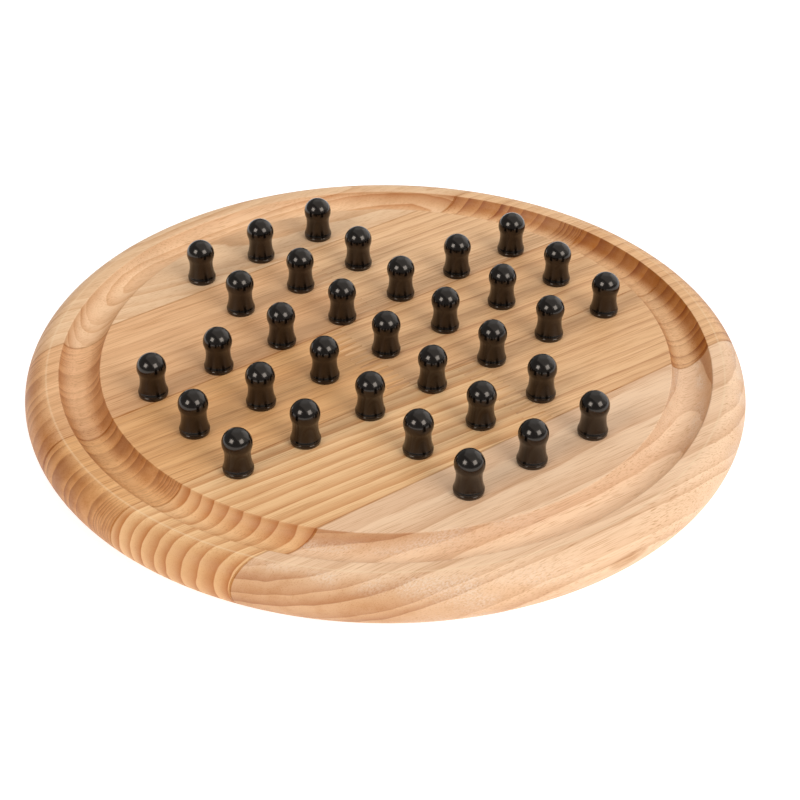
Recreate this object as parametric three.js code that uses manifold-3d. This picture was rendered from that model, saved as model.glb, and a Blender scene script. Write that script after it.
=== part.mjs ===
// A round peg solitaire board: an edge-glued pine panel turned to a disc, with a ring groove
// for the captured pegs and a cross of blind holes, each holding one turned peg.
// Millimetres, +Z up, +X along the grain. The origin is the centre of the flat underside.
import * as THREE from 'three';
import { mergeVertices, toCreasedNormals } from 'three/addons/utils/BufferGeometryUtils.js';
import Module from 'manifold-3d';

// ---- Pegs: one turned piece each; heights are above the board's top ----
const pinRadius = 3;
const pinLength = 9;
const pinChamfer = 0.5;
const headRadius = 6;
const headCentre = 13.2;
const crownRadius = 1.5;          // the head's slightly flattened top
const waistRadius = 4.95;
const waistHeight = 7.8;
const footRadius = 6.15;
const footRimHeight = 1.4;        // where the foot is widest
const footRimInset = 0.45;        // how far the seat stands in from that rim

// ---- Holes ----
const holePitch = 31.3;
const pinClearance = 0.25;        // all round the pin
const holeBottomRoom = 2;         // below the pin's end

// ---- Board ----
const boardThickness = 22;
const fieldMargin = 18.65;        // from the outermost feet to the groove
const grooveWidth = 16.7;
const grooveDepth = 6;
const rimWidth = 3.6;             // flat, between the groove and the rounded edge

// ---- Panel: glue lines run along X, each a wall's width from the holes of one row ----
const glueLines = [
  { row: 3, side: -1, wall: 5.4 },
  { row: 1, side: -1, wall: 2.05 },
  { row: -1, side: 1, wall: 2.3 },
  { row: -3, side: 1, wall: 13.15 },
];
// Finger-jointed ends in the three middle staves, beside the holes of one column.
const endJoints = [
  { stave: 2, column: 0, side: 1 },
  { stave: 3, column: 0, side: -1 },
  { stave: 4, column: 1, side: -1 },
];
const endJointWall = 2.5;         // between a hole and the nearest finger
const fingerLength = 10;
const fingerPitch = 3.8;
const fingerTip = 0.8;            // width of a finger's blunt end
const fingerEndGap = 0.8;         // between a finger's end and its root
const glueGap = 0.3;

// ---- Facets ----
const discSides = 64;
const pegSides = 12;
const edgeSteps = 10;
const grooveSteps = 6;
const waistSteps = 2;
const headSteps = 3;

// ---- Worked-out sizes ----
const holeRadius = pinRadius + pinClearance;
const holeDepth = pinLength + holeBottomRoom;
const fieldRadius = 3 * holePitch + footRadius + fieldMargin;
const edgeRadius = boardThickness / 2;
const boardRadius = fieldRadius + grooveWidth + rimWidth + edgeRadius;
const grooveMid = fieldRadius + grooveWidth / 2;
const grooveBallRadius = (grooveWidth ** 2 / 4 + grooveDepth ** 2) / (2 * grooveDepth);
const grooveBallHeight = boardThickness - grooveDepth + grooveBallRadius;
const outside = boardRadius + 10; // past the disc on every side

const wasm = await Module();
wasm.setup();

// Points of an arc in a lathe profile; degrees, with 0 outwards and 90 up.
function arc(centreR, centreZ, radius, fromDeg, toDeg, steps) {
  const points = [];
  for (let i = 0; i <= steps; i += 1) {
    const angle = THREE.MathUtils.degToRad(fromDeg + ((toDeg - fromDeg) * i) / steps);
    points.push(new THREE.Vector2(
      centreR + radius * Math.cos(angle),
      centreZ + radius * Math.sin(angle),
    ));
  }
  return points;
}

// A profile of (radius, height) points, from the axis back to the axis, turned about Z.
function turned(profile, sides) {
  const geometry = new THREE.LatheGeometry(profile, sides);
  geometry.rotateX(Math.PI / 2);
  return geometry;
}

// A closed three.js geometry as a manifold solid.
function solidOf(geometry) {
  const bare = new THREE.BufferGeometry();
  bare.setAttribute('position', geometry.getAttribute('position'));
  if (geometry.index) bare.setIndex(geometry.index);
  const merged = mergeVertices(bare, 1e-4);
  const index = merged.index.array;
  const kept = [];
  for (let i = 0; i < index.length; i += 3) {
    const [a, b, c] = [index[i], index[i + 1], index[i + 2]];
    if (a !== b && b !== c && c !== a) kept.push(a, b, c);
  }
  return new wasm.Manifold(new wasm.Mesh({
    numProp: 3,
    vertProperties: Float32Array.from(merged.getAttribute('position').array),
    triVerts: Uint32Array.from(kept),
  }));
}

// A manifold solid back as a geometry, with its creases kept sharp.
function geometryOf(solid) {
  const mesh = solid.getMesh();
  const geometry = new THREE.BufferGeometry();
  geometry.setAttribute('position', new THREE.BufferAttribute(mesh.vertProperties, 3));
  geometry.setIndex(new THREE.BufferAttribute(mesh.triVerts, 1));
  return toCreasedNormals(geometry, THREE.MathUtils.degToRad(35));
}

// ---- The turned disc: flat underside, full round edge, cove groove, flat field ----
function boardBlank() {
  const grooveHalfDeg = THREE.MathUtils.radToDeg(Math.asin(grooveWidth / 2 / grooveBallRadius));
  const profile = [
    new THREE.Vector2(0, 0),
    ...arc(boardRadius - edgeRadius, edgeRadius, edgeRadius, -90, 90, edgeSteps),
    ...arc(grooveMid, grooveBallHeight, grooveBallRadius,
      -90 + grooveHalfDeg, -90 - grooveHalfDeg, grooveSteps),
    new THREE.Vector2(0, boardThickness),
  ];
  return solidOf(turned(profile, discSides));
}

// The English cross: rows of three, three, seven, seven, seven, three and three.
function holePlaces() {
  const places = [];
  for (let row = 3; row >= -3; row -= 1) {
    const reach = Math.abs(row) <= 1 ? 3 : 1;
    for (let column = -reach; column <= reach; column += 1) {
      places.push({ row, column, x: column * holePitch, y: row * holePitch });
    }
  }
  return places;
}

function holeTool({ x, y }) {
  const openEnd = boardThickness + 1;
  const tool = turned([
    new THREE.Vector2(0, boardThickness - holeDepth),
    new THREE.Vector2(holeRadius, boardThickness - holeDepth),
    new THREE.Vector2(holeRadius, openEnd),
    new THREE.Vector2(0, openEnd),
  ], pegSides);
  tool.translate(x, y, 0);
  return solidOf(tool);
}

// ---- Staves: each is what an upright prism keeps of the drilled disc ----
// The zigzag of a finger joint at x, from one edge of a stave to the other.
function zigzag(x, yLow, yHigh) {
  const count = Math.round((yHigh - yLow) / fingerPitch);
  const pitch = (yHigh - yLow) / count;
  const root = x - fingerLength / 2;
  const tip = x + fingerLength / 2;
  const points = [];
  for (let i = 0; i < count; i += 1) {
    const start = i === 0 ? yLow : yLow + i * pitch + fingerTip / 2;
    const middle = yLow + (i + 0.5) * pitch;
    const end = i === count - 1 ? yHigh : yLow + (i + 1) * pitch - fingerTip / 2;
    points.push([root, start], [tip, middle - fingerTip / 2]);
    points.push([tip, middle + fingerTip / 2], [root, end]);
  }
  return points;
}

// One end of a stave's outline: past the disc, or half a gap back from a finger joint.
function staveEnd(jointX, side, low, high) {
  if (jointX === null) return [[side * outside, low], [side * outside, high]];
  return zigzag(jointX - (side * fingerEndGap) / 2, low, high);
}

function stavePrism({ low, high, left, right }) {
  const outline = [
    ...staveEnd(right, 1, low, high),
    ...staveEnd(left, -1, low, high).reverse(),
  ];
  const shape = new THREE.Shape(outline.map(([x, y]) => new THREE.Vector2(x, y)));
  const geometry = new THREE.ExtrudeGeometry(shape, {
    depth: boardThickness + 2,
    bevelEnabled: false,
  });
  geometry.translate(0, 0, -1);
  return solidOf(geometry);
}

// The staves from the far side to the near one, with the jointed ones in two lengths.
function staveList() {
  const seams = glueLines.map(({ row, side, wall }) => row * holePitch
    + side * (holeRadius + wall));
  const edges = [outside, ...seams, -outside];
  const list = [];
  for (let stave = 1; stave < edges.length; stave += 1) {
    const name = `stave_${stave}`;
    const high = edges[stave - 1] - glueGap / 2;
    const low = edges[stave] + glueGap / 2;
    const joint = endJoints.find((entry) => entry.stave === stave);
    if (joint) {
      const x = joint.column * holePitch
        + joint.side * (holeRadius + endJointWall + fingerLength / 2);
      list.push({ name: `${name}_left`, low, high, left: null, right: x });
      list.push({ name: `${name}_right`, low, high, left: x, right: null });
    } else {
      list.push({ name, low, high, left: null, right: null });
    }
  }
  return list;
}

// ---- Peg: pin, flared foot, waist and ball head ----
function pegGeometry() {
  // The waist's upper curve touches the head's ball; its lower one runs out to the foot's rim.
  const rise = headCentre - waistHeight;
  const upperRadius = (waistRadius ** 2 + rise ** 2 - headRadius ** 2)
    / (2 * (headRadius - waistRadius));
  const touchDeg = THREE.MathUtils.radToDeg(Math.atan2(rise, waistRadius + upperRadius));
  const flare = footRadius - waistRadius;
  const drop = waistHeight - footRimHeight;
  const lowerRadius = (flare ** 2 + drop ** 2) / (2 * flare);
  const flareDeg = THREE.MathUtils.radToDeg(Math.asin(drop / lowerRadius));
  const crownDeg = THREE.MathUtils.radToDeg(Math.acos(crownRadius / headRadius));
  const crownHeight = headCentre + Math.sqrt(headRadius ** 2 - crownRadius ** 2);
  const profile = [
    new THREE.Vector2(0, -pinLength),
    new THREE.Vector2(pinRadius - pinChamfer, -pinLength),
    new THREE.Vector2(pinRadius, -pinLength + pinChamfer),
    new THREE.Vector2(pinRadius, 0),
    new THREE.Vector2(footRadius - footRimInset, 0),
    ...arc(waistRadius + lowerRadius, waistHeight, lowerRadius,
      180 + flareDeg, 180, waistSteps),
    ...arc(waistRadius + upperRadius, waistHeight, upperRadius,
      180, 180 - touchDeg, waistSteps).slice(1),
    ...arc(0, headCentre, headRadius, -touchDeg, crownDeg, headSteps).slice(1),
    new THREE.Vector2(0, crownHeight),
  ];
  return turned(profile, pegSides);
}

// ---- Finishes ----
const pineColours = {
  stave_1: 0xdfb88a,
  stave_2_left: 0xd4a878,
  stave_2_right: 0xddb488,
  stave_3_left: 0xcc9e6e,
  stave_3_right: 0xe0b98c,
  stave_4_left: 0xe3bd8c,
  stave_4_right: 0xe2bc90,
  stave_5: 0xe0ba8e,
};
const blackLacquer = new THREE.MeshStandardMaterial({
  color: 0x15110f,
  roughness: 0.3,
  metalness: 0,
});

// ---- Assembly ----
const solitaire = new THREE.Group();
const places = holePlaces();

let drilled = boardBlank();
for (const place of places) drilled = drilled.subtract(holeTool(place));
for (const stave of staveList()) {
  const clearPine = new THREE.MeshStandardMaterial({
    color: pineColours[stave.name],
    roughness: 0.55,
    metalness: 0,
  });
  const mesh = new THREE.Mesh(geometryOf(drilled.intersect(stavePrism(stave))), clearPine);
  mesh.name = stave.name;
  solitaire.add(mesh);
}

const peg = pegGeometry();
for (const { row, column, x, y } of places) {
  const mesh = new THREE.Mesh(peg, blackLacquer);
  mesh.name = `peg_row${4 - row}_col${column + 4}`;
  mesh.position.set(x, y, boardThickness);
  solitaire.add(mesh);
}

export default solitaire;
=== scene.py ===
# %% [markdown]
# # A peg solitaire board in pine
#
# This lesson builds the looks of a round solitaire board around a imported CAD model. The
# CAD model already has the true sizes, one node for each piece of wood and one for each
# peg. Here the same pieces are made again with a fine surface, and each gets a finish:
# clear-finished pine for the eight pieces of the glued panel, black lacquer for the pegs.

# %% Load the fixed frame
import math

import bmesh
import bpy
from mathutils import Matrix, Vector


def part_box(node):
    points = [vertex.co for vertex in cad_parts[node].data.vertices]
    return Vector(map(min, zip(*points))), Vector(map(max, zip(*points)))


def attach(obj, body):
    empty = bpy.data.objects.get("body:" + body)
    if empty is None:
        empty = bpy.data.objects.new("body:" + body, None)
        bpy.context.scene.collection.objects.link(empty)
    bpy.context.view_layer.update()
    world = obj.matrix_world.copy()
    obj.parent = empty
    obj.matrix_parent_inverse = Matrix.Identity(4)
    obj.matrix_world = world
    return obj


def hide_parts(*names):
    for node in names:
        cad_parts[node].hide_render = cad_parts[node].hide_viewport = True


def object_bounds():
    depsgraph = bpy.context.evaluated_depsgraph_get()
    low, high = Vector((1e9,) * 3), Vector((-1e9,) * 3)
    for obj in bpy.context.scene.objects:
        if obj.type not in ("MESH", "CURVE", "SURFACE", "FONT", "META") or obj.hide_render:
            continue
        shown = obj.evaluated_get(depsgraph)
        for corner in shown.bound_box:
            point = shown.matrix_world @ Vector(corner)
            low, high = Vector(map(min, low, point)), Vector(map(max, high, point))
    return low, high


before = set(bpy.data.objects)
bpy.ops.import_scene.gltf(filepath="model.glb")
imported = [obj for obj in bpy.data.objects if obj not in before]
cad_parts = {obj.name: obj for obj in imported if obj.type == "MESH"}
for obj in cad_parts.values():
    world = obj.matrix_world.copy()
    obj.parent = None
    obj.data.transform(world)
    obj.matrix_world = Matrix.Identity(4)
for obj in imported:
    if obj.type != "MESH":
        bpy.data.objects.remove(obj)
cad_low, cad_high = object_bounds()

MM = 0.001
print("CAD box in mm:", [round(v / MM, 1) for v in (*cad_low, *cad_high)])

# %% [markdown]
# ## Sizes
#
# The frame gives the sizes that pieces must share with the CAD model: how thick the board
# is, how wide, where the glue lines and end joints run and where each peg stands. Only
# what a box cannot tell, such as the groove's width, is written here as a number.

# %% Sizes read from the frame
stave_names = [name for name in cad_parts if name.startswith("stave")]
peg_names = [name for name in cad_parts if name.startswith("peg")]
board_radius = cad_high.x
board_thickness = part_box("stave_1")[1].z
edge_radius = board_thickness / 2
print(len(stave_names), "pieces of pine,", len(peg_names), "pegs,",
      f"board {2 * board_radius / MM:.0f} x {board_thickness / MM:.0f} mm")

# %% Sizes in millimetres that the boxes do not give
RIM_WIDTH = 3.6 * MM
GROOVE_WIDTH = 16.7 * MM
GROOVE_DEPTH = 6.0 * MM
ARRIS = 0.30 * MM
HOLE_RADIUS = 3.25 * MM
HOLE_DEPTH = 11.0 * MM
HOLE_CHAMFER = 0.4 * MM
FINGER_PITCH = 3.8 * MM
FINGER_TIP = 0.8 * MM
FINGER_LENGTH = 10.0 * MM
SEAM = 0.06 * MM

rim_inner = board_radius - edge_radius - RIM_WIDTH
field_radius = rim_inner - GROOVE_WIDTH
groove_middle = (rim_inner + field_radius) / 2
groove_ball = (GROOVE_WIDTH**2 / 4 + GROOVE_DEPTH**2) / (2 * GROOVE_DEPTH)
groove_half_angle = math.asin(GROOVE_WIDTH / 2 / groove_ball)
print(f"field {field_radius / MM:.1f} mm, groove cut by a ball of {groove_ball / MM:.2f} mm")

# %% [markdown]
# ## Camera
#
# The board is seen from one side and a little above, through a longish lens, so its far
# edge is only slightly smaller than its near one. The camera is placed by the direction
# it looks from, its distance and the point on the board's top that it is aimed at. It is
# also turned very slightly about its own axis.

# %% Camera
VIEW_AZIMUTH = math.radians(-37.46)
VIEW_ELEVATION = math.radians(35.65)
VIEW_ROLL = math.radians(0.555)
VIEW_DISTANCE = 756.0 * MM
LENS_MM = 84.43
aim = Vector((-16.4 * MM, -31.3 * MM, board_thickness))

towards_camera = Vector((
    math.sin(VIEW_AZIMUTH) * math.cos(VIEW_ELEVATION),
    -math.cos(VIEW_AZIMUTH) * math.cos(VIEW_ELEVATION),
    math.sin(VIEW_ELEVATION),
))
camera_data = bpy.data.cameras.new("camera")
camera_data.lens = LENS_MM
camera_data.sensor_width = 36
camera = bpy.data.objects.new("camera", camera_data)
camera.matrix_world = (
    Matrix.Translation(aim + towards_camera * VIEW_DISTANCE)
    @ towards_camera.to_track_quat("Z", "Y").to_matrix().to_4x4()
    @ Matrix.Rotation(VIEW_ROLL, 4, "Z")
)
bpy.context.scene.collection.objects.link(camera)
bpy.context.scene.camera = camera
print("camera at", [round(v, 3) for v in camera.matrix_world.translation])

# %% [markdown]
# ## Floor and light
#
# A plain, nearly white floor, a dim white studio all round and four soft lights. Two boxes
# stand either side of the camera and show as the twin highlights on each peg; they also
# model the groove. A panel at the side and a wide one overhead are dim: they only keep the
# shadows soft. Each light is placed by its angle from the camera, because that is how a
# highlight is placed too.

# %% Colour and node helpers
def linear(hex_colour):
    """An sRGB colour such as 'e3bd8c' as the linear values that a shader works in."""
    parts = [int(hex_colour[i:i + 2], 16) / 255 for i in (0, 2, 4)]
    curve = [p / 12.92 if p <= 0.04045 else ((p + 0.055) / 1.055) ** 2.4 for p in parts]
    return (*curve, 1.0)


def add(tree, kind, inputs=None, **settings):
    """Adds a node; inputs are plain values, or the nodes or sockets to link from."""
    made = tree.nodes.new(kind)
    for setting, value in settings.items():
        setattr(made, setting, value)
    for key, value in (inputs or {}).items():
        if isinstance(value, bpy.types.Node):
            value = next(output for output in value.outputs if output.enabled)
        if isinstance(value, bpy.types.NodeSocket):
            tree.links.new(value, made.inputs[key])
        else:
            made.inputs[key].default_value = value
    return made


def new_material(name):
    """An empty node material and its tree."""
    material = bpy.data.materials.new(name)
    material.use_nodes = True
    material.node_tree.nodes.clear()
    return material, material.node_tree


# %% World: dim for the light it gives, white where the camera sees it
STUDIO_GLOW = 0.26
world = bpy.data.worlds.new("studio")
bpy.context.scene.world = world
world.use_nodes = True
world.node_tree.nodes.clear()
seen = add(world.node_tree, "ShaderNodeLightPath")
strength = add(world.node_tree, "ShaderNodeMapRange",
               {"Value": seen.outputs["Is Camera Ray"], "To Min": STUDIO_GLOW, "To Max": 1.0})
background = add(world.node_tree, "ShaderNodeBackground",
                 {"Color": linear("ffffff"), "Strength": strength})
add(world.node_tree, "ShaderNodeOutputWorld", {"Surface": background})
print("the studio gives", STUDIO_GLOW, "of white from all round")

# %% Floor
# The floor glows a little, so that it stays pale under the board's edge.
FLOOR_RADIUS = 6
matt_white, tree = new_material("matt_white_floor")
surface = add(tree, "ShaderNodeBsdfPrincipled",
              {"Base Color": linear("c8c8c8"), "Roughness": 0.9,
               "Emission Color": linear("ffffff"), "Emission Strength": 0.75})
add(tree, "ShaderNodeOutputMaterial", {"Surface": surface})
shape = bmesh.new()
bmesh.ops.create_circle(shape, cap_ends=True, segments=64, radius=FLOOR_RADIUS)
floor_mesh = bpy.data.meshes.new("floor")
shape.to_mesh(floor_mesh)
shape.free()
floor_mesh.materials.append(matt_white)
floor = bpy.data.objects.new("floor", floor_mesh)
bpy.context.scene.collection.objects.link(floor)
print("floor", 2 * FLOOR_RADIUS, "m across")

# %% Soft boxes
LIGHT_DISTANCE = 5.0


def soft_box(name, right, up, spread, radiance):
    """A square light aimed at the board, so many degrees right of and above the camera.

    Spread is how many degrees wide it looks from the board, and radiance is how bright its
    face is, where 1 is a white sheet of paper in full light.
    """
    right, up = math.radians(right), math.radians(up)
    turn = camera.matrix_world.to_3x3()
    direction = turn @ Vector((
        math.sin(right) * math.cos(up),
        math.sin(up),
        math.cos(right) * math.cos(up),
    ))
    data = bpy.data.lights.new(name, "AREA")
    data.size = 2 * LIGHT_DISTANCE * math.tan(math.radians(spread / 2))
    data.energy = radiance * math.pi * data.size**2
    box = bpy.data.objects.new(name, data)
    box.matrix_world = (
        Matrix.Translation(direction * LIGHT_DISTANCE)
        @ direction.to_track_quat("Z", "Y").to_matrix().to_4x4()
    )
    bpy.context.scene.collection.objects.link(box)
    print(name, "at", [round(v, 2) for v in box.matrix_world.translation])


soft_box("right_box", right=38, up=9, spread=28, radiance=5.2)
soft_box("left_box", right=-37, up=9, spread=24, radiance=6.4)
soft_box("side_panel", right=112, up=38, spread=50, radiance=0.6)
soft_box("top_panel", right=60, up=60, spread=100, radiance=0.42)
bpy.context.scene.view_settings.view_transform = "Standard"

# %% [markdown]
# ## The turned disc
#
# The real board is a glued panel turned on a faceplate: a full round edge, a cove groove
# cut with a round-nosed tool, and sharp arrises that sanding has only just broken. A
# profile swept round the axis makes exactly that. The profile's curves come from spinning
# single vertices: the edge about the middle of the board's thickness and the groove about
# the centre of its ball. A bevel on the two arris points breaks them.

# %% Profile helpers
EDGE_START = math.radians(8)
EDGE_STEPS = 32
GROOVE_STEPS = 28
DISC_STEPS = 240


def point(shape, x, z, after=None):
    """A profile point at radius x and height z, joined to the one before it."""
    made = shape.verts.new((x, 0, z))
    if after:
        shape.edges.new((after, made))
    return made


def sweep_point(shape, start, centre_x, centre_z, angle, steps):
    """Spins one profile point about a centre, leaving an arc, and returns the arc's end."""
    swept = bmesh.ops.spin(shape, geom=[start], cent=(centre_x, 0, centre_z),
                           axis=(0, 1, 0), angle=angle, steps=steps)
    return [v for v in swept["geom_last"] if isinstance(v, bmesh.types.BMVert)][0]


def turn_profile(shape, steps):
    """Turns everything in the shape about Z and closes the seam and the poles."""
    bmesh.ops.spin(shape, geom=shape.verts[:] + shape.edges[:], cent=(0, 0, 0),
                   axis=(0, 0, 1), angle=2 * math.pi, steps=steps, use_merge=True)
    bmesh.ops.remove_doubles(shape, verts=shape.verts, dist=1e-6)
    bmesh.ops.recalc_face_normals(shape, faces=shape.faces)


# %% The disc
blank = bmesh.new()
start = point(blank, 0, 0)
edge_ball = edge_radius / math.cos(EDGE_START)
edge_arris = board_radius - edge_ball + edge_ball * math.sin(EDGE_START)
low_edge = point(blank, edge_arris, 0, start)
high_edge = sweep_point(blank, low_edge, board_radius - edge_ball, edge_radius,
                        2 * EDGE_START - math.pi, EDGE_STEPS)
rim_arris = point(blank, rim_inner, board_thickness,
                  point(blank, rim_inner + 2 * ARRIS, board_thickness, high_edge))
ball_height = board_thickness - GROOVE_DEPTH + groove_ball
field_arris = sweep_point(blank, rim_arris, groove_middle, ball_height,
                          2 * groove_half_angle, GROOVE_STEPS)
point(blank, 0, board_thickness,
      point(blank, field_radius - 2 * ARRIS, board_thickness, field_arris))
bmesh.ops.bevel(blank, geom=[rim_arris, field_arris], offset=ARRIS, segments=3,
                profile=0.5, affect="VERTICES", material=-1)
print(len(blank.verts), "profile points, up to x =",
      round(max(v.co.x for v in blank.verts) / MM, 2), "mm")
turn_profile(blank, DISC_STEPS)
print("disc:", len(blank.faces), "faces, volume",
      round(blank.calc_volume() / MM**3 / 1000, 1), "cm3")

# %% [markdown]
# ## Holes
#
# Each hole is a blind bore with its mouth eased by a small chamfer. One cutter is turned
# from a profile and repeated at every peg, and all the cutters go through the disc in one
# boolean. The cutters come up a little past the top so that no face lies on another.


# %% Hole cutters
def mesh_object(name, shape):
    """Puts a bmesh into the scene as an object at the origin."""
    mesh = bpy.data.meshes.new(name)
    shape.to_mesh(mesh)
    shape.free()
    made = bpy.data.objects.new(name, mesh)
    bpy.context.scene.collection.objects.link(made)
    return made


def peg_place(name):
    """The middle of a peg's box: the axis it stands on."""
    low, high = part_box(name)
    return Vector(((low.x + high.x) / 2, (low.y + high.y) / 2, 0))


HOLE_STEPS = 40
HOLE_TURN = math.radians(0.63)
cutters = bmesh.new()
mouth = board_thickness + HOLE_CHAMFER
corner = point(cutters, HOLE_RADIUS, board_thickness - HOLE_DEPTH,
               point(cutters, 0, board_thickness - HOLE_DEPTH))
neck = point(cutters, HOLE_RADIUS, board_thickness - HOLE_CHAMFER, corner)
point(cutters, 0, mouth, point(cutters, HOLE_RADIUS + 2 * HOLE_CHAMFER, mouth, neck))
turn_profile(cutters, HOLE_STEPS)
# A small turn keeps the centre hole's corners off the disc's own spokes, where the
# boolean would leave slivers.
bmesh.ops.rotate(cutters, cent=(0, 0, 0), verts=cutters.verts,
                 matrix=Matrix.Rotation(HOLE_TURN, 3, "Z"))
one_hole = cutters.verts[:] + cutters.edges[:] + cutters.faces[:]
for name in peg_names:
    copied = bmesh.ops.duplicate(cutters, geom=one_hole)["geom"]
    bmesh.ops.translate(cutters, vec=peg_place(name),
                        verts=[v for v in copied if isinstance(v, bmesh.types.BMVert)])
bmesh.ops.delete(cutters, geom=one_hole[:], context="VERTS")
hole_cutters = mesh_object("hole_cutters", cutters)
print(len(peg_names), "holes to cut")


# %% Drill the disc
NO_SIZE = 0.001 * MM


def carve(target, cutter, operation):
    """Applies one exact boolean to the target's mesh and clears faces of no size."""
    modifier = target.modifiers.new(operation, "BOOLEAN")
    modifier.operation = operation
    modifier.solver = "EXACT"
    modifier.object = cutter
    seen_by = bpy.context.evaluated_depsgraph_get()
    result = bpy.data.meshes.new_from_object(target.evaluated_get(seen_by))
    target.modifiers.clear()
    shape = bmesh.new()
    shape.from_mesh(result)
    bmesh.ops.dissolve_degenerate(shape, dist=NO_SIZE, edges=shape.edges)
    shape.to_mesh(result)
    shape.free()
    target.data = result


disc = mesh_object("disc", blank)
carve(disc, hole_cutters, "DIFFERENCE")
bpy.data.objects.remove(hole_cutters)
print("drilled disc:", len(disc.data.polygons), "faces")

# %% [markdown]
# ## Staves
#
# The panel is five staves glued edge to edge, and three of them are two lengths joined by
# machine-cut fingers. Each piece is what an upright prism keeps of the drilled disc. The
# prism's outline starts as a rectangle; where it ends in a finger joint, a zigzag takes
# the place of that side. Neighbours are cut a hair apart, which shows as the fine line
# that a glued seam has.


# %% Prisms that cut the disc into pieces
CAD_GLUE_GAP = 0.3 * MM  # the CAD pieces stop half of this short of each glue line
FAR = board_radius + 10 * MM
PRISM_SPARE = 5 * MM


def stave_outline(name):
    """The outline of a piece seen from above, as points in order round it."""
    low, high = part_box(name)
    closer = (CAD_GLUE_GAP - SEAM) / 2
    y_low = low.y - closer if low.y > -board_radius + MM else -FAR
    y_high = high.y + closer if high.y < board_radius - MM else FAR
    left = [(-FAR, y_low), (-FAR, y_high)]
    right = [(FAR, y_low), (FAR, y_high)]
    if name.endswith("left"):
        right = zigzag(joint_x(name[:-5]) - SEAM, y_low, y_high)
    if name.endswith("right"):
        left = zigzag(joint_x(name[:-6]) + SEAM, y_low, y_high)
    return right + left[::-1]


def joint_x(stave):
    """Where a stave's finger joint is: halfway between its two pieces' ends."""
    return (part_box(f"{stave}_left")[1].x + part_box(f"{stave}_right")[0].x) / 2


def zigzag(x, y_low, y_high):
    """The fingers across a stave, from its near edge to its far one."""
    count = round((y_high - y_low) / FINGER_PITCH)
    pitch = (y_high - y_low) / count
    root, tip, half_tip = x - FINGER_LENGTH / 2, x + FINGER_LENGTH / 2, FINGER_TIP / 2
    points = []
    for i in range(count):
        start, middle, end = (y_low + (i + share) * pitch for share in (0, 0.5, 1))
        points.append((root, start + (half_tip if i else 0)))
        points.append((tip, middle - half_tip))
        points.append((tip, middle + half_tip))
        points.append((root, end - (half_tip if i < count - 1 else 0)))
    return points


def prism(outline):
    """An upright prism through the whole board."""
    shape = bmesh.new()
    corners = [shape.verts.new((x, y, -PRISM_SPARE)) for x, y in outline]
    face = shape.faces.new(corners)
    raised = bmesh.ops.extrude_face_region(shape, geom=[face])["geom"]
    bmesh.ops.translate(shape, vec=(0, 0, board_thickness + 2 * PRISM_SPARE),
                        verts=[v for v in raised if isinstance(v, bmesh.types.BMVert)])
    bmesh.ops.recalc_face_normals(shape, faces=shape.faces)
    return mesh_object("prism", shape)


print("outline of stave_2_left:", len(stave_outline("stave_2_left")), "corners")

# %% Cut the pieces
staves = {}
for name in stave_names:
    piece = bpy.data.objects.new("pine_" + name, disc.data.copy())
    bpy.context.scene.collection.objects.link(piece)
    cutter = prism(stave_outline(name))
    carve(piece, cutter, "INTERSECT")
    bpy.data.objects.remove(cutter)
    piece.data.shade_smooth()
    piece.data.set_sharp_from_angle(angle=math.radians(32))
    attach(piece, "board")
    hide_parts(name)
    staves[name] = piece
    print(piece.name, len(piece.data.polygons), "faces")
bpy.data.objects.remove(disc)

# %% [markdown]
# ## Pegs
#
# A peg is turned in one piece: a pin that sits in the hole, a bead for a foot with a fine
# line scored round it, a waist to grip it by and a ball head with its crown sanded
# slightly flat. It is made as the disc was. The waist is two arcs that meet where it is
# narrowest, the upper one touching the ball without a corner.

# %% Peg sizes, heights above the board's top
PIN_RADIUS = 3.0 * MM
PIN_LENGTH = 9.0 * MM
PIN_CHAMFER = 0.5 * MM
HEAD_RADIUS = 6.0 * MM
HEAD_CENTRE = 13.2 * MM
CROWN_RADIUS = 1.5 * MM
WAIST_RADIUS = 5.08 * MM
WAIST_HEIGHT = 7.8 * MM
NECK_RADIUS = 5.80 * MM
NECK_HEIGHT = 2.8 * MM
FOOT_RADIUS = 6.15 * MM
FOOT_HEIGHT = 1.4 * MM
SEAT_RADIUS = 5.70 * MM
SCORE_HEIGHT = 1.7 * MM
SCORE_DEPTH = 0.15 * MM
SEAT_EASE = 0.25 * MM
FOOT_TAPER = 0.05 * MM
CROWN_EASE = 0.5 * MM
ARC_STEPS = 10
WAIST_TO_HEAD_STEPS = 8
HEAD_STEPS = 22
PEG_STEPS = 48


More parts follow.
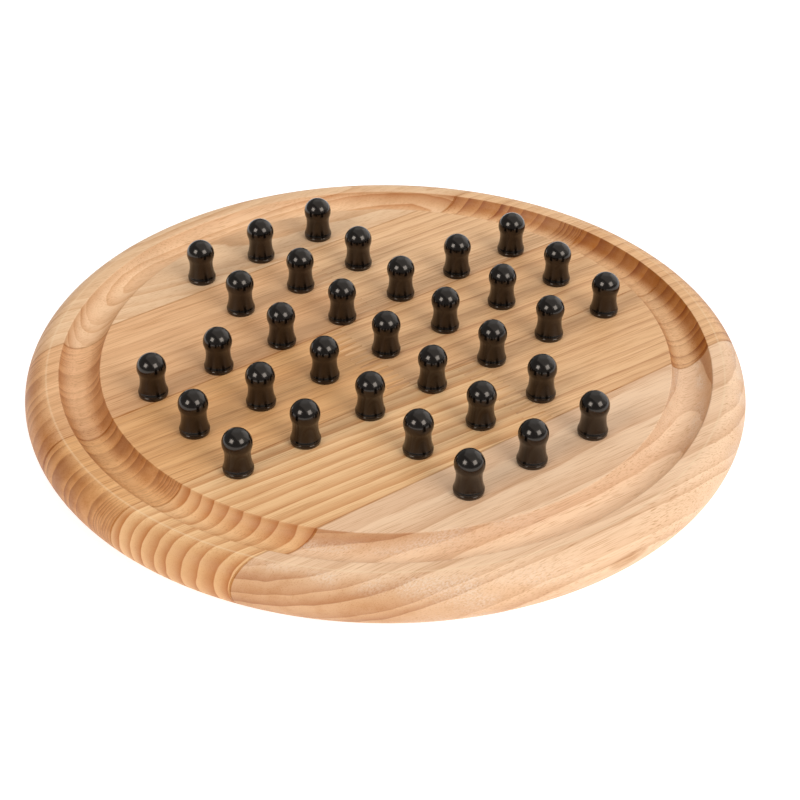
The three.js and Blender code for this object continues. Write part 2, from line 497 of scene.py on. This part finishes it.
def peg_shape():
    """One peg, standing on the board's top at the axis."""
    shape = bmesh.new()
    foot = point(shape, 0, -PIN_LENGTH)
    foot = point(shape, PIN_RADIUS - PIN_CHAMFER, -PIN_LENGTH, foot)
    foot = point(shape, PIN_RADIUS, -PIN_LENGTH + PIN_CHAMFER, foot)
    foot = point(shape, PIN_RADIUS, 0, foot)
    foot = point(shape, SEAT_RADIUS, 0, foot)
    foot = point(shape, SEAT_RADIUS + SEAT_EASE, SEAT_EASE, foot)
    foot = point(shape, FOOT_RADIUS - FOOT_TAPER, SCORE_HEIGHT - SCORE_DEPTH, foot)
    foot = point(shape, FOOT_RADIUS - SCORE_DEPTH, SCORE_HEIGHT, foot)
    # The bead's arc starts above the scored line and passes through the foot's widest
    # point to the neck.
    inset = FOOT_RADIUS - NECK_RADIUS
    bead = (inset**2 + (NECK_HEIGHT - FOOT_HEIGHT)**2) / (2 * inset)
    below = math.asin((FOOT_HEIGHT - SCORE_HEIGHT - SCORE_DEPTH) / bead)
    above = math.asin((NECK_HEIGHT - FOOT_HEIGHT) / bead)
    bead_low = point(shape, FOOT_RADIUS - bead * (1 - math.cos(below)),
                     SCORE_HEIGHT + SCORE_DEPTH, foot)
    neck = sweep_point(shape, bead_low, FOOT_RADIUS - bead, FOOT_HEIGHT,
                       -(below + above), ARC_STEPS)
    flare = NECK_RADIUS - WAIST_RADIUS
    drop = WAIST_HEIGHT - NECK_HEIGHT
    lower = (flare**2 + drop**2) / (2 * flare)
    waist = sweep_point(shape, neck, WAIST_RADIUS + lower, WAIST_HEIGHT,
                        math.asin(drop / lower), ARC_STEPS)
    rise = HEAD_CENTRE - WAIST_HEIGHT
    upper = ((WAIST_RADIUS**2 + rise**2 - HEAD_RADIUS**2)
             / (2 * (HEAD_RADIUS - WAIST_RADIUS)))
    touch = math.atan2(rise, WAIST_RADIUS + upper)
    head = sweep_point(shape, waist, WAIST_RADIUS + upper, WAIST_HEIGHT, touch,
                       WAIST_TO_HEAD_STEPS)
    crown_angle = math.acos(CROWN_RADIUS / HEAD_RADIUS)
    crown = sweep_point(shape, head, 0, HEAD_CENTRE, -(touch + crown_angle), HEAD_STEPS)
    point(shape, 0, crown.co.z, crown)
    bmesh.ops.bevel(shape, geom=[crown], offset=CROWN_EASE, segments=3, profile=0.5,
                    affect="VERTICES", material=-1)
    turn_profile(shape, PEG_STEPS)
    return shape


print(f"a peg stands {(HEAD_CENTRE + HEAD_RADIUS) / MM:.1f} mm high before its crown is flat")

# %% Make the pegs
pegs = {}
for name in peg_names:
    shape = peg_shape()
    bmesh.ops.translate(shape, vec=peg_place(name) + Vector((0, 0, board_thickness)),
                        verts=shape.verts)
    piece = mesh_object("turned_" + name, shape)
    piece.data.shade_smooth()
    piece.data.set_sharp_from_angle(angle=math.radians(40))
    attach(piece, name)
    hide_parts(name)
    pegs[name] = piece
print(len(pegs), "pegs of", len(piece.data.polygons), "faces")

# %% [markdown]
# ## Pine with a clear satin finish
#
# Pine shows its growth rings: pale, soft earlywood that darkens through each year into
# amber latewood and then starts again with a sharp edge. The rings are cylinders round
# the pith of the tree, so each piece gets its own pith, a line along the grain, and a
# ring width in millimetres. Where the surface turns, in the groove and on the rounded
# edge, the same solid pattern turns into arcs by itself. That is why this is a pattern
# in space and not one laid on the surface.

# %% Where each piece was sawn from
# Pith is (y, z) in millimetres in the board's own frame, and a ring's width is too.
# Turn and runout are how many degrees the grain runs off the board's X axis, seen from
# above and from the side. Rise says how late in the year the wood darkens, and depth how
# far. Tight is a slow stretch of growth: its inner and outer radius and the years that it
# adds. Wave is how far the rings bend, in millimetres. Thirst is how much darker faces
# across the grain go, and contrast how much more their rings show. The rest are strengths.
plain = dict(turn=-3, runout=0, uneven=1.5, tight=(0, 1, 0), shade=(0, 1, 0), wave=10,
             fibres=0.30, streaks=0.10, dashes=0.1, torn=0.0, thirst=0.5, contrast=0.45)
sawn = {
    "stave_1": dict(pith=(118, -40), ring=4.0, early="f9d1a6", late="cb8540", runout=4,
                    rise=1.6, depth=0.55, wave=16, seed=1),
    "stave_2_left": dict(pith=(-150, 11), ring=7.0, early="f6c391", late="b57038", turn=-2,
                         rise=3.0, depth=0.36, tight=(224, 234, 4), shade=(60, 20, 0.30),
                         fibres=0.42, seed=2),
    "stave_2_right": dict(pith=(-150, 11), ring=6.0, early="f8ca99", late="b06630", turn=-2,
                          rise=3.0, depth=0.58, tight=(180, 199, 5), thirst=0.75,
                          fibres=0.45, seed=3),
    "stave_3_left": dict(pith=(-150, 11), ring=6.5, early="f2bb80", late="98511e", turn=-2,
                         rise=2.5, depth=0.36, tight=(124, 138, 6), wave=8, fibres=0.40,
                         streaks=0.2, seed=4),
    "stave_3_right": dict(pith=(-150, 11), ring=8.0, early="f3c18d", late="a65d29", rise=4.0,
                          depth=0.72, thirst=0.85, fibres=0.45, contrast=0.28, seed=5),
    "stave_4_left": dict(pith=(60, 11), ring=5.4, early="fdd09a", late="c67830", rise=1.5,
                         depth=0.75, uneven=0.6, wave=6, fibres=0.35, streaks=0.05,
                         thirst=0.3, contrast=0.25, seed=6),
    "stave_4_right": dict(pith=(-150, 11), ring=6.0, early="f4c491", late="ab6228", rise=3.0,
                          depth=0.60, wave=8, thirst=0.8, fibres=0.45, contrast=0.4, seed=7),
    "stave_5": dict(pith=(-65, 100), ring=6.0, early="fad4ae", late="c07f48", turn=-2,
                    rise=1.6, depth=0.50, wave=8, dashes=0.30, torn=0.5, thirst=0.5,
                    contrast=0.25, seed=8),
}
sawn = {name: {**plain, **cut} for name, cut in sawn.items()}
print("rings", min(cut["ring"] for cut in sawn.values()), "to",
      max(cut["ring"] for cut in sawn.values()), "mm wide")

# %% [markdown]
# ### The log
#
# Every grain in the wood is long and thin along the tree. A Mapping node turns the
# board's metres into millimetres in the log, with the pith on the X axis. Noise that is
# stretched along X then makes every kind of grain, from hair-fine fibres to broad
# streaks. Each size below is (length, width) in millimetres.

# %% Noise in grains of a real size
BENDS = (180, 45)
KINKS = (25, 6)
FIBRES = (18, 0.34)  # real fibres are finer: this is as fine as the eye can still tell
DASHES = (12, 0.4)
STREAKS = (130, 4)
DRIFT = (150, 30)


def grains(tree, log, size, detail):
    """Noise in grains of this length and width; Fac and Color are its outputs."""
    stretched = add(tree, "ShaderNodeMapping", {
        "Vector": log, "Scale": (1 / size[0], 1 / size[1], 1 / size[1])})
    return add(tree, "ShaderNodeTexNoise", {
        "Vector": stretched, "Scale": 1.0, "Detail": detail})


print("grains in mm:", FIBRES, DASHES, STREAKS, DRIFT)

# %% [markdown]
# ### Growth rings
#
# The distance from the pith, once the bends are added, divided by the ring width, counts
# the years. Its fraction is the season, from spring to the next spring. A power of it
# makes the slow rise to latewood, and a short ramp down makes the sharp edge after it.

# %% Growth rings
NEXT_SPRING = 0.94  # from here to 1.0 the dark latewood ends
KINK_SHIFT = 1.6  # how far small kinks move a ring, in millimetres
LUCK_PER_YEAR = 0.45  # how fast good and bad years follow each other


def growth_rings(tree, log, end_grain_and_shade, cut):
    """The colour of the rings and how much of it is latewood."""
    bent = log
    for size, detail, shift in ((BENDS, 0.0, cut["wave"]), (KINKS, 1.0, KINK_SHIFT)):
        noise = grains(tree, log, size, detail)
        bent = add(tree, "ShaderNodeVectorMath", {
            0: noise.outputs["Color"], 1: (shift, shift, shift), 2: bent},
            operation="MULTIPLY_ADD")
    across = add(tree, "ShaderNodeVectorMath", {0: bent, 1: (0, 1, 1)}, operation="MULTIPLY")
    radius = add(tree, "ShaderNodeVectorMath", {0: across}, operation="LENGTH")
    inner, outer, extra = cut["tight"]
    slow = add(tree, "ShaderNodeMapRange", {
        "Value": radius, "From Min": inner, "From Max": outer, "To Max": extra},
        interpolation_type="SMOOTHSTEP")
    years = add(tree, "ShaderNodeMath", {0: radius, 1: 1 / cut["ring"], 2: slow},
                operation="MULTIPLY_ADD")
    luck = add(tree, "ShaderNodeTexNoise", {"W": years, "Scale": LUCK_PER_YEAR, "Detail": 1.0},
               noise_dimensions="1D")
    years = add(tree, "ShaderNodeMath", {0: luck, 1: cut["uneven"], 2: years},
                operation="MULTIPLY_ADD")
    season = add(tree, "ShaderNodeMath", {0: years}, operation="FRACT")
    year = add(tree, "ShaderNodeMath", {0: years}, operation="FLOOR")

    # Across the grain a year shows its whole shading; along it, mostly its dark end.
    rise = add(tree, "ShaderNodeMapRange", {
        "Value": end_grain_and_shade, "To Min": cut["rise"], "To Max": min(cut["rise"], 1.3)})
    late = add(tree, "ShaderNodeMath", {0: season, 1: rise}, operation="POWER")
    spring = add(tree, "ShaderNodeMapRange", {
        "Value": season, "From Min": NEXT_SPRING, "To Min": 1.0, "To Max": 0.0},
        interpolation_type="SMOOTHSTEP")
    late = add(tree, "ShaderNodeMath", {0: late, 1: spring}, operation="MULTIPLY")
    weather = add(tree, "ShaderNodeTexWhiteNoise", {"W": year}, noise_dimensions="1D")
    weather = add(tree, "ShaderNodeMapRange", {
        "Value": weather.outputs["Value"], "To Min": 1 - 0.3 * cut["uneven"]})
    late = add(tree, "ShaderNodeMath", {0: late, 1: weather}, operation="MULTIPLY")
    depth = add(tree, "ShaderNodeMapRange", {
        "Value": end_grain_and_shade, "To Min": cut["depth"], "To Max": cut["depth"] + cut["contrast"]})
    share = add(tree, "ShaderNodeMath", {0: late, 1: depth}, operation="MULTIPLY")
    wood = add(tree, "ShaderNodeMix", {
        "Factor": share, "A": linear(cut["early"]), "B": linear(cut["late"])},
        data_type="RGBA")
    return wood, late


print("latewood ends over the last", round(1 - NEXT_SPRING, 2), "of a year")

# %% [markdown]
# ### What the finish does
#
# A clear finish sinks into the wood. Faces across the grain drink more of it and go
# darker, and so do loose fibres, resin dashes and the thin glue lines between the staves.
# Faces towards -X get some extra darkening here too, which is painted shade. All of these add
# up to one stain, which multiplies the wood's colour.

# %% Stain
STAIN = "b88d4a"
GLUE_LINE = (0.15, 0.40)  # full strength and gone, in millimetres from the joint


def stain(tree, log, board, end_grain_and_shade, seams, cut):
    """How strongly each point is stained."""
    fibre = grains(tree, log, FIBRES, 2.0)
    strength = add(tree, "ShaderNodeMapRange", {
        "Value": fibre, "From Min": 0.52, "From Max": 0.68, "To Max": cut["fibres"]})
    dash = add(tree, "ShaderNodeMapRange", {
        "Value": grains(tree, log, DASHES, 0.0), "From Min": 0.68, "From Max": 0.74,
        "To Max": cut["dashes"]})
    strength = add(tree, "ShaderNodeMath", {0: strength, 1: dash}, operation="ADD")
    along = add(tree, "ShaderNodeMapRange", {"Value": end_grain_and_shade, "To Min": 1.0,
                                             "To Max": 0.3})
    strength = add(tree, "ShaderNodeMath", {0: strength, 1: along}, operation="MULTIPLY")
    fields = [
        (grains(tree, log, STREAKS, 3.0), 0.44, 0.68, cut["streaks"]),
        (grains(tree, log, DRIFT, 1.0), 0.35, 0.70, 0.15),
        (board.outputs[1], cut["shade"][0] * MM, cut["shade"][1] * MM, cut["shade"][2]),
        # Faces across the grain stain darker, and the painted shade tilt adds more on faces
        # towards -X.
        (end_grain_and_shade, 0.0, 1.0, cut["thirst"]),
    ]
    for seam in seams:
        apart = add(tree, "ShaderNodeMath", {0: board.outputs[1], 1: seam},
                    operation="SUBTRACT")
        apart = add(tree, "ShaderNodeMath", {0: apart}, operation="ABSOLUTE")
        fields.append((apart, GLUE_LINE[1] * MM, GLUE_LINE[0] * MM, 0.4))
    for value, low, high, most in fields:
        more = add(tree, "ShaderNodeMapRange", {
            "Value": value, "From Min": low, "From Max": high, "To Max": most})
        strength = add(tree, "ShaderNodeMath", {0: strength, 1: more}, operation="ADD")
    return strength, fibre


print("stain colour", [round(part, 3) for part in linear(STAIN)[:3]])

# %% [markdown]
# ### Tool marks and painted highlights on the arrises
#
# Where the cutter met the fibres at a slope it tore small pale flecks out of them. The sharp
# arrises of the groove, and the one where the rounded edge starts, get a pale line painted
# along them: a painted highlight for the light that these broken arrises catch. The lathe left
# faint rings that the finish doesn't hide.

# %% Torn grain
TORN_PATCH = (26, 12)
TORN_FLECK = (1.0, 0.6)


def torn_grain(tree, log, end_grain_and_shade, torn):
    """Where flecks are torn out, and how deep."""
    sloped = add(tree, "ShaderNodeMapRange", {
        "Value": end_grain_and_shade, "From Min": 0.02, "From Max": 0.3})
    blunt = add(tree, "ShaderNodeMapRange", {
        "Value": end_grain_and_shade, "From Min": 0.55, "From Max": 0.95, "To Min": 1.0,
        "To Max": 0.0})
    sloped = add(tree, "ShaderNodeMath", {0: sloped, 1: blunt}, operation="MULTIPLY")
    patch = add(tree, "ShaderNodeMapRange", {
        "Value": grains(tree, log, TORN_PATCH, 1.0), "From Min": 0.40, "From Max": 0.56,
        "To Max": torn})
    patch = add(tree, "ShaderNodeMath", {0: patch, 1: sloped}, operation="MULTIPLY")
    fleck = add(tree, "ShaderNodeMapRange", {
        "Value": grains(tree, log, TORN_FLECK, 2.0), "From Min": 0.40, "From Max": 0.60,
        "To Min": 0.9, "To Max": 0.1})
    return add(tree, "ShaderNodeMath", {0: patch, 1: fleck}, operation="MULTIPLY")


print("torn flecks of", TORN_FLECK, "mm")

# %% Painted highlights on the arrises
# A painted highlight runs along each arris; these are the widths of its band.
ARRIS_HIGHLIGHT_BAND = (0.15, 0.55)  # full strength and gone, in millimetres from the arris
arrises = [groove_middle - GROOVE_WIDTH * MM / 2, groove_middle + GROOVE_WIDTH * MM / 2,
           edge_arris]


def painted_arris_highlights(tree, board, from_axis):
    """How strongly each point near an arris on the top gets the painted highlight."""
    nearest = 1.0
    for arris in arrises:
        apart = add(tree, "ShaderNodeMath", {0: from_axis, 1: arris}, operation="SUBTRACT")
        apart = add(tree, "ShaderNodeMath", {0: apart}, operation="ABSOLUTE")
        nearest = add(tree, "ShaderNodeMath", {0: apart, 1: nearest}, operation="MINIMUM")
    highlight_strength = add(tree, "ShaderNodeMapRange", {
        "Value": nearest, "From Min": ARRIS_HIGHLIGHT_BAND[0] * MM, "From Max": ARRIS_HIGHLIGHT_BAND[1] * MM,
        "To Min": 0.28, "To Max": 0.0})
    on_top = add(tree, "ShaderNodeMapRange", {
        "Value": board.outputs[2], "From Min": board_thickness - 0.6 * MM,
        "From Max": board_thickness - 0.3 * MM})
    return add(tree, "ShaderNodeMath", {0: highlight_strength, 1: on_top}, operation="MULTIPLY")


print("arrises at radius", [round(arris / MM, 2) for arris in arrises], "mm")

# %% Relief
LATHE_PITCH = 0.9
LATHE_SLOPE = 0.37  # how far the rings lean as the tool goes down a wall


def relief(tree, board, from_axis, parts):
    """The height of open fibres and other parts, with the lathe's rings below the top."""
    sweep = add(tree, "ShaderNodeMath", {0: board.outputs[2], 1: LATHE_SLOPE, 2: from_axis},
                operation="MULTIPLY_ADD")
    rings = add(tree, "ShaderNodeTexNoise", {
        "W": sweep, "Scale": 1 / (LATHE_PITCH * MM), "Detail": 2.0}, noise_dimensions="1D")
    below_top = add(tree, "ShaderNodeMapRange", {
        "Value": board.outputs[2], "From Min": board_thickness - 0.6 * MM,
        "From Max": board_thickness - 0.1 * MM, "To Min": 0.8, "To Max": 0.0})
    height = add(tree, "ShaderNodeMath", {0: rings, 1: below_top}, operation="MULTIPLY")
    for part, share in parts:
        height = add(tree, "ShaderNodeMath", {0: part, 1: share, 2: height},
                     operation="MULTIPLY_ADD")
    return add(tree, "ShaderNodeBump", {"Height": height, "Strength": 0.6,
                                        "Distance": 0.10 * MM})


print("lathe rings about", LATHE_PITCH, "mm apart")

# %% The pine material
PAINTED_SHADE_TILT = -0.12  # painted shade on faces towards -X, the side turned away from the main lights: they count as more end grain and stain darker
TORN_PALE = "efd9c2"
# The pale colour of the painted highlight along the arrises.
ARRIS_HIGHLIGHT_COLOUR = "f8dcb4"


def clear_pine(name, cut, seams):
    """Pine sawn from its own place in the tree, under a clear satin finish."""
    material, tree = new_material(name)
    place = add(tree, "ShaderNodeTexCoord")
    board = add(tree, "ShaderNodeSeparateXYZ", {0: place.outputs["Object"]})
    log = add(tree, "ShaderNodeMapping", {
        "Vector": place.outputs["Object"], "Scale": (1000, 1000, 1000),
        "Rotation": (0, math.radians(cut["runout"]), -math.radians(cut["turn"])),
        "Location": (cut["seed"] * 517.0, -cut["pith"][0], -cut["pith"][1])})
    flat = add(tree, "ShaderNodeVectorMath", {0: place.outputs["Object"], 1: (1, 1, 0)},
               operation="MULTIPLY")
    from_axis = add(tree, "ShaderNodeVectorMath", {0: flat}, operation="LENGTH")

    # How much a face looks along the grain, tilted so that faces towards -X count as more of
    # it: painted shade on the side turned away from the main lights.
    facing = add(tree, "ShaderNodeSeparateXYZ", {0: place.outputs["Normal"]})
    facing = add(tree, "ShaderNodeMath", {0: facing, 1: PAINTED_SHADE_TILT}, operation="ADD")
    facing = add(tree, "ShaderNodeMath", {0: facing}, operation="ABSOLUTE")
    end_grain_and_shade = add(tree, "ShaderNodeMapRange", {
        "Value": facing, "From Min": 0.14, "From Max": 0.78},
        interpolation_type="SMOOTHSTEP")

    wood, latewood = growth_rings(tree, log, end_grain_and_shade, cut)
    strength, fibre = stain(tree, log, board, end_grain_and_shade, seams, cut)
    stained = add(tree, "ShaderNodeMix", {
        "Factor": strength, "A": wood, "B": linear(STAIN)}, data_type="RGBA",
        blend_type="MULTIPLY")
    torn = torn_grain(tree, log, end_grain_and_shade, cut["torn"])
    flecked = add(tree, "ShaderNodeMix", {
        "Factor": torn, "A": stained, "B": linear(TORN_PALE)}, data_type="RGBA")
    # The pale line along the arrises is a painted highlight.
    colour = add(tree, "ShaderNodeMix", {
        "Factor": painted_arris_highlights(tree, board, from_axis), "A": flecked,
        "B": linear(ARRIS_HIGHLIGHT_COLOUR)}, data_type="RGBA")
    bump = relief(tree, board, from_axis, [(fibre, 1.0), (latewood, 0.3), (torn, -2.0)])
    gloss = add(tree, "ShaderNodeMapRange", {
        "Value": fibre, "From Min": 0.3, "From Max": 0.7, "To Min": 0.42, "To Max": 0.56})
    surface = add(tree, "ShaderNodeBsdfPrincipled", {
        "Base Color": colour, "Roughness": gloss, "IOR": 1.5, "Specular IOR Level": 0.35,
        "Normal": bump})
    add(tree, "ShaderNodeOutputMaterial", {"Surface": surface})
    return material


for name, piece in staves.items():
    seams = (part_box(name)[0].y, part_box(name)[1].y)
    piece.data.materials.clear()
    piece.data.materials.append(clear_pine("clear_pine_" + name, sawn[name], seams))
print(len(staves), "pieces of pine, each with its own place in the log")

# %% [markdown]
# ## Black lacquer on turned wood
#
# The pegs are dipped in black lacquer and tumbled: a semi-gloss skin over turned wood.
# It is nearly black, with a trace of brown where the wood warms it, and its gloss varies a
# little where the grain underneath runs up the peg and drinks it. IOR 1.5 is usual for
# lacquer.

# %% The lacquer material
PEG_GRAIN = (8, 1.2)
material, tree = new_material("black_dipped_lacquer")
place = add(tree, "ShaderNodeTexCoord")
peg_log = add(tree, "ShaderNodeMapping", {
    "Vector": place.outputs["Object"], "Scale": (1000, 1000, 1000),
    "Rotation": (0, math.radians(90), 0)})
grain = grains(tree, peg_log, PEG_GRAIN, 3.0)
colour = add(tree, "ShaderNodeMix", {
    "Factor": grain, "A": linear("040303"), "B": linear("0b0705")}, data_type="RGBA")
gloss = add(tree, "ShaderNodeMapRange", {"Value": grain, "To Min": 0.11, "To Max": 0.22})
bump = add(tree, "ShaderNodeBump", {"Height": grain, "Strength": 0.25,
                                    "Distance": 0.04 * MM})
surface = add(tree, "ShaderNodeBsdfPrincipled", {
    "Base Color": colour, "Roughness": gloss, "IOR": 1.5, "Specular IOR Level": 0.60,
    "Specular Tint": linear("fff0e2"), "Normal": bump})
add(tree, "ShaderNodeOutputMaterial", {"Surface": surface})
for piece in pegs.values():
    piece.data.materials.append(material)
print(len(pegs), "pegs share", material.name)
